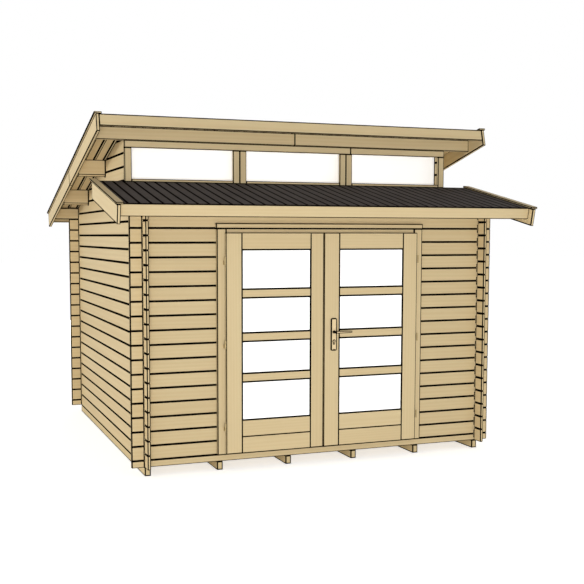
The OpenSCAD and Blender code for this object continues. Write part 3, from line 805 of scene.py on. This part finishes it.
class LogHouseDoors(bpy.types.Operator):
    """Build the two glazed leaves"""
    bl_idname = "log_house.doors"
    bl_label = "Doors"

    # Width of the painted shade along the rails' edges
    RAIL_RIM = 0.0030
    # Gap between a pane and what holds it, and how far the beads lie in from the leaf's inner face
    PANE_GAP = 0.0003
    BEAD_SET_BACK = 0.001
    BEAD_ARRIS = 0.0015
    # How far the rubber stands out in front of a pane, and its rounding
    RUBBER_OUT = 0.0030
    RUBBER_ARRIS = 0.0008

    def execute(self, context):
        wood = joinery_spruce()
        for side in ("left", "right"):
            body = side + "_door"
            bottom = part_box(body + "_rails")[0].z
            timber(body + "_stiles", body + "_stile_boards", "spruce_joinery", wood, squared=True,
                   body=body)
            timber(body + "_rails", body + "_rail_boards", "spruce_joinery", wood, body=body,
                   saws=[("z", [bottom + sizes().bottom_board])], rim=self.RAIL_RIM)
            timber(body + "_bars", body + "_glazing_bars", "spruce_joinery", wood, body=body)
            refinish(body + "_glass", milk_glass())
            self.glazing_beads(body, wood)
            self.gaskets(body)
        return {"FINISHED"}

    def glazing_beads(self, body, wood):
        """Four beads behind each pane, on the side of the room."""
        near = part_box(body + "_glass")[1].y + self.PANE_GAP
        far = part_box(body + "_stiles")[1].y - self.BEAD_SET_BACK
        bm = self.pane_frames(body, sizes().bead, near, far)
        ease_edges(bm, self.BEAD_ARRIS, THIN_RIM)
        draw_grain(bm, body + "_beads")
        finished(bm, body + "_glazing_beads", body, [wood, edge_painted_shade()])

    def gaskets(self, body):
        """A strip of black rubber around each pane, on the outside."""
        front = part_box(body + "_glass")[0].y
        bm = self.pane_frames(body, sizes().gasket, front - self.RUBBER_OUT, front - self.PANE_GAP)
        ease_edges(bm, self.RUBBER_ARRIS, THIN_RIM)
        finished(bm, body + "_gaskets", body, [rubber(), rubber()])

    def pane_frames(self, body, width, near, far):
        """A bmesh of four strips along the edges of each pane of a leaf, between two depths."""
        source = merged_copy(body + "_glass")
        bm = bmesh.new()
        for verts in islands(source):
            low, high = span(verts)
            block(bm, (low.x, near, low.z), (high.x, far, low.z + width))
            block(bm, (low.x, near, high.z - width), (high.x, far, high.z))
            block(bm, (low.x, near, low.z + width), (low.x + width, far, high.z - width))
            block(bm, (high.x - width, near, low.z + width), (high.x, far, high.z - width))
        source.free()
        return bm


class LogHouseHinges(bpy.types.Operator):
    """Finish the hinges"""
    bl_idname = "log_house.hinges"
    bl_label = "Hinges"

    def execute(self, context):
        for node in ("frame_hinges", "left_door_hinges", "right_door_hinges"):
            refinish(node, dull_brass())
        return {"FINISHED"}


class LogHouseHandle(bpy.types.Operator):
    """Shape the handle plates, the lock cylinder and the levers"""
    bl_idname = "log_house.handle"
    bl_label = "Handle and lock"

    BROKEN_EDGE = 0.0006

    def execute(self, context):
        self.plates()
        self.cylinder()
        self.levers()
        return {"FINISHED"}

    def outline(self, bm, level, width, rim):
        """Rounds the outline of the flat faces at one depth, in painted shade, and gives them a rim of
        painted shade. The edges of bores, which lie near the middle line, are only broken."""
        faces = self.faces_at(bm, level)
        around = once(edge for face in faces for edge in face.edges)
        edges = [edge for edge in around if sum(face in faces for face in edge.link_faces) == 1]
        low, high = span([vert for face in faces for vert in face.verts])
        middle, reach, solid_end = (low + high) / 2, (high - low) / 2, 0.01

        def in_bore(edge):
            off = (edge.verts[0].co + edge.verts[1].co) / 2 - middle
            return abs(off.x) < reach.x / 2 and abs(off.z) < reach.z - solid_end

        bores = [edge for edge in edges if in_bore(edge)]
        outer = [edge for edge in edges if not in_bore(edge)]
        made = []
        for group, offset, segments in ((bores, self.BROKEN_EDGE, 1), (outer, width, 3)):
            if group:
                made += bmesh.ops.bevel(bm, geom=group, offset=offset, offset_type="OFFSET",
                                        segments=segments, profile=0.5, affect="EDGES",
                                        material=-1)["faces"]
        made += bmesh.ops.inset_region(bm, faces=self.faces_at(bm, level), thickness=rim,
                                       use_even_offset=True, use_boundary=True)["faces"]
        darken(face for face in made if face.is_valid)

    def faces_at(self, bm, level):
        """The flat faces of a plate at one depth."""
        return [face for face in bm.faces if abs(face.normal.y) > 0.99
                and abs(face.calc_center_median().y - level) < 1e-5]

    def flat_copy(self, node):
        """A copy of a plate with bright flat faces and sides in painted shade, and its two corners."""
        bm = merged_copy(node)
        darken(face for face in bm.faces if abs(face.normal.y) < 0.9)
        return bm, *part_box(node)

    def shade(self, verts):
        """Darkens the faces around some vertices in the dark metal: painted shade in the keyway and on
        the spindle, and the dark screw heads.
        """
        darken(face for vert in verts for face in vert.link_faces)

    def satin(self, bm, node, body):
        """Finishes a shaped copy of a node in satin metal, with its edges in painted shade."""
        finished(bm, node + "_satin", body, [champagne_metal(), shaded_metal()], [node])

    def plates(self):
        """Long plates on both sides of the leaf, with a screw near the foot of each."""
        bm, low, high = self.flat_copy("handle_plates")
        for level in (low.y, high.y):
            self.outline(bm, level, sizes().plate_arris, sizes().plate_rim)
        screw_height, screw_out = 0.012, 0.0004
        for level, out in ((low.y, -1), (high.y, 1)):
            head = bmesh.ops.create_cone(bm, cap_ends=True, segments=20, radius1=0.0052,
                                         radius2=0.0042, depth=0.0010)["verts"]
            turn = Vector((0, out, 0)).to_track_quat("Z", "Y").to_matrix()
            bmesh.ops.rotate(bm, verts=head, cent=(0, 0, 0), matrix=turn)
            place = ((low.x + high.x) / 2, level + out * screw_out, low.z + screw_height)
            bmesh.ops.translate(bm, verts=head, vec=place)
            self.shade(head)
        self.satin(bm, "handle_plates", "right_door")

    def cylinder(self):
        """A profile cylinder: a pale face with an outline and a keyway in painted shade."""
        bm, low, high = self.flat_copy("lock_cylinder")
        middle, keyway_z = (low.x + high.x) / 2, high.z - (high.x - low.x) / 2
        dark_outline, keyway_half = 0.0016, Vector((0.0012, 0.0002, 0.0045))
        for level in (low.y, high.y):
            self.outline(bm, level, self.BROKEN_EDGE, dark_outline)
        for level in (low.y, high.y):
            keyway = Vector((middle, level, keyway_z))
            self.shade(block(bm, keyway - keyway_half, keyway + keyway_half))
        self.satin(bm, "lock_cylinder", "right_door")

    def levers(self):
        """A tapering grip and a neck on each side, on one square spindle."""
        low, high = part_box("door_levers")
        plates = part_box("handle_plates")
        axle, height = (plates[0].x + plates[1].x) / 2, (low.z + high.z) / 2
        grip_in, grip_back, grip_short = 0.008, 0.006, 0.0005
        sides = ((plates[0].y, low.y + grip_in), (plates[1].y, high.y - grip_in))
        bm = bmesh.new()
        for plate_y, grip_y in sides:
            self.grip(bm, Vector((axle - grip_back, grip_y, height)), high.x - grip_short)
        # The grip's eased edges and rims are painted shade
        ease_edges(bm, 0.0030, 0.0034, corner=40)
        neck_gap, neck_past = 0.0004, 0.0072
        for plate_y, grip_y in sides:
            out = math.copysign(1.0, grip_y - plate_y)
            self.neck(bm, Vector((axle, plate_y + out * neck_gap, height)), Vector((0, out, 0)),
                      abs(grip_y - plate_y) + neck_past)
        spindle_half = 0.0033
        self.shade(block(bm, (axle - spindle_half, plates[0].y, height - spindle_half),
                         (axle + spindle_half, plates[1].y, height + spindle_half)))
        self.satin(bm, "door_levers", "lever")

    def grip(self, bm, root, end_x):
        """A flat bar that tapers to a rounded end."""
        half, tip = Vector((0, 0.0065, 0.0110)), Vector((end_x, root.y, root.z))
        made = block(bm, root - half, tip + half)
        end = [v for v in made if v.co.x > root.x + SLIVER]
        bmesh.ops.scale(bm, vec=(1.0, 0.8, 0.73), verts=end, space=Matrix.Translation(-tip))
        round_off = [e for e in once(e for v in end for e in v.link_edges)
                     if abs((e.verts[0].co - e.verts[1].co).normalized().y) > 0.9]
        bmesh.ops.bevel(bm, geom=round_off, offset=0.0050, offset_type="OFFSET", segments=4,
                        profile=0.5, affect="EDGES", material=-1)

    def neck(self, bm, root, axis, reach):
        """A turned neck in painted shade, with a collar at the plate, spun from its profile."""
        turned = bmesh.new()
        collar, waist, tip = 0.0130, 0.0088, 0.0076
        stations = ((0.0, 0.0), (0.0, collar), (0.0035, collar), (0.0050, waist),
                    (reach - (waist - tip), waist), (reach, tip), (reach, 0.0))
        verts = [turned.verts.new(root + axis * along + AXES["x"] * radius)
                 for along, radius in stations]
        edges = [turned.edges.new(pair) for pair in zip(verts, verts[1:])]
        bmesh.ops.spin(turned, geom=verts + edges, cent=root, axis=axis, angle=2 * math.pi, steps=24,
                       use_merge=True)
        bmesh.ops.remove_doubles(turned, verts=turned.verts[:], dist=1e-6)
        bmesh.ops.recalc_face_normals(turned, faces=turned.faces[:])
        darken(turned.faces)
        mesh = bpy.data.meshes.new("lever_neck")
        turned.to_mesh(mesh)
        turned.free()
        bm.from_mesh(mesh)
        bpy.data.meshes.remove(mesh)


# ---- stage


class LogHouseStage(bpy.types.Operator):
    """Set the floor, the light and the camera"""
    bl_idname = "log_house.stage"
    bl_label = "Stage"

    FLOOR_HALF = 60.0
    # Where each softbox stands and what it points at, and its width and height
    SOFTBOXES = {"front": ((-3.5, -12.5, 1.1), (0, -1.5, 1.4)),
                 "left": ((-12.5, -2.0, 1.1), (-1.5, 0, 1.4)),
                 "right": ((12.5, -2.0, 1.1), (1.5, 0, 1.4)),
                 "rear": ((2.0, 12.5, 1.1), (0, 1.5, 1.4))}
    SOFTBOX_SIZE = (6.0, 2.0)
    # The camera looks a little down and to the right, with a small shift for the framing
    CAMERA_TURN = (math.radians(90 - 4.763), 0.0, math.radians(-20.162))
    CAMERA_SHIFT = (0.04577, 0.03997)

    def execute(self, context):
        scene = context.scene
        light = scene.log_house_light
        scene.view_settings.view_transform = "Standard"
        self.floor(scene, light)
        self.sky(scene, light)
        self.softboxes(scene, light)
        self.camera(scene, light)
        return {"FINISHED"}

    def floor(self, scene, light):
        """A pale floor that the camera sees lifted to white, except in the house's shadow."""
        bm = bmesh.new()
        bmesh.ops.create_grid(bm, x_segments=1, y_segments=1, size=self.FLOOR_HALF)
        mesh = bpy.data.meshes.new("studio_floor")
        bm.to_mesh(mesh)
        bm.free()
        floor = bpy.data.objects.new("studio_floor", mesh)
        scene.collection.objects.link(floor)
        material = bpy.data.materials.new("pale_studio_floor")
        material.use_nodes = True
        tree = material.node_tree
        tree.nodes.clear()
        seen = add_node(tree, "ShaderNodeLightPath")
        white = add_node(tree, "ShaderNodeBsdfDiffuse", {"Color": (1.0, 1.0, 1.0, 1.0)})
        glow = add_node(tree, "ShaderNodeEmission", {"Strength": light.floor_glow})
        lifted = add_node(tree, "ShaderNodeAddShader", links={0: white.outputs[0], 1: glow.outputs[0]})
        pale = add_node(tree, "ShaderNodeBsdfDiffuse", {"Color": tuple(colours().floor)})
        bounce = add_node(tree, "ShaderNodeEmission", {"Strength": light.floor_bounce})
        given = add_node(tree, "ShaderNodeAddShader", links={0: pale.outputs[0], 1: bounce.outputs[0]})
        mixed = add_node(tree, "ShaderNodeMixShader",
                         links={0: seen.outputs["Is Camera Ray"], 1: given.outputs[0],
                                2: lifted.outputs[0]})
        add_node(tree, "ShaderNodeOutputMaterial", links={"Surface": mixed.outputs[0]})
        mesh.materials.append(material)

    def sky(self, scene, light):
        """An even white light, and a white backdrop for the camera, metal and glass."""
        world = bpy.data.worlds.new("studio_sky")
        scene.world = world
        world.use_nodes = True
        tree = world.node_tree
        tree.nodes.clear()
        path = add_node(tree, "ShaderNodeLightPath")
        seen = path.outputs["Is Camera Ray"]
        for ray in ("Is Glossy Ray", "Is Transmission Ray"):
            seen = add_node(tree, "ShaderNodeMath", links={0: seen, 1: path.outputs[ray]},
                            operation="MAXIMUM").outputs[0]
        lit = add_node(tree, "ShaderNodeBackground", {"Color": (1, 1, 1, 1), "Strength": light.sky})
        shown = add_node(tree, "ShaderNodeBackground", {"Color": (1, 1, 1, 1), "Strength": 1.0})
        mixed = add_node(tree, "ShaderNodeMixShader",
                         links={0: seen, 1: lit.outputs[0], 2: shown.outputs[0]})
        add_node(tree, "ShaderNodeOutputWorld", links={"Surface": mixed.outputs[0]})

    def softboxes(self, scene, light):
        """Four large low lamps, one for each side, so that no face falls into the dark. Each gives
        the energy that lights an upright face at its aim by the fill."""
        for name, (place, aim) in self.SOFTBOXES.items():
            lamp = bpy.data.lights.new("softbox_" + name, "AREA")
            lamp.shape = "RECTANGLE"
            lamp.size, lamp.size_y = self.SOFTBOX_SIZE
            holder = bpy.data.objects.new("softbox_" + name, lamp)
            holder.location = place
            holder.visible_camera = False
            throw = Vector(aim) - holder.location
            lamp.energy = light.fill * math.pi ** 2 * throw.length_squared
            holder.rotation_euler = throw.to_track_quat("-Z", "Y").to_euler()
            scene.collection.objects.link(holder)

    def camera(self, scene, light):
        view = bpy.data.cameras.new("front_view")
        view.lens = light.focal_length
        view.sensor_width = 36.0
        view.shift_x, view.shift_y = self.CAMERA_SHIFT
        view.clip_end = 200.0
        camera = bpy.data.objects.new("front_view", view)
        camera.location = light.camera_place
        camera.rotation_euler = self.CAMERA_TURN
        scene.collection.objects.link(camera)
        scene.camera = camera


# ---- panel and run

OPERATORS = (
    LogHouseLogs, LogHouseFloor, LogHouseRoofBoards, LogHouseFelt, LogHouseRoofTrim,
    LogHousePurlins, LogHouseWindowRow, LogHouseDoorFrame, LogHouseDoors, LogHouseHinges,
    LogHouseHandle, LogHouseStage,
)


class LogHousePanel(bpy.types.Panel):
    """Lists the sizes, the colours and the building steps"""
    bl_idname = "VIEW3D_PT_log_house"
    bl_label = "Garden House"
    bl_space_type = "VIEW_3D"
    bl_region_type = "UI"
    bl_category = "Garden House"

    def draw(self, context):
        for group in (context.scene.log_house_sizes, context.scene.log_house_colours,
                      context.scene.log_house_light):
            box = self.layout.box()
            for key in group.__annotations__:
                box.prop(group, key)
        for operator in OPERATORS:
            self.layout.operator(operator.bl_idname)


CLASSES = (LogHouseSizes, LogHouseColours, LogHouseLight) + OPERATORS + (LogHousePanel,)


def register():
    for made in CLASSES:
        bpy.utils.register_class(made)
    bpy.types.Scene.log_house_sizes = PointerProperty(type=LogHouseSizes)
    bpy.types.Scene.log_house_colours = PointerProperty(type=LogHouseColours)
    bpy.types.Scene.log_house_light = PointerProperty(type=LogHouseLight)


def unregister():
    for name in ("log_house_sizes", "log_house_colours", "log_house_light"):
        delattr(bpy.types.Scene, name)
    for made in reversed(CLASSES):
        bpy.utils.unregister_class(made)


def main():
    register()
    for operator in OPERATORS:
        group, name = operator.bl_idname.split(".")
        getattr(getattr(bpy.ops, group), name)()


if __name__ == "__main__":
    main()
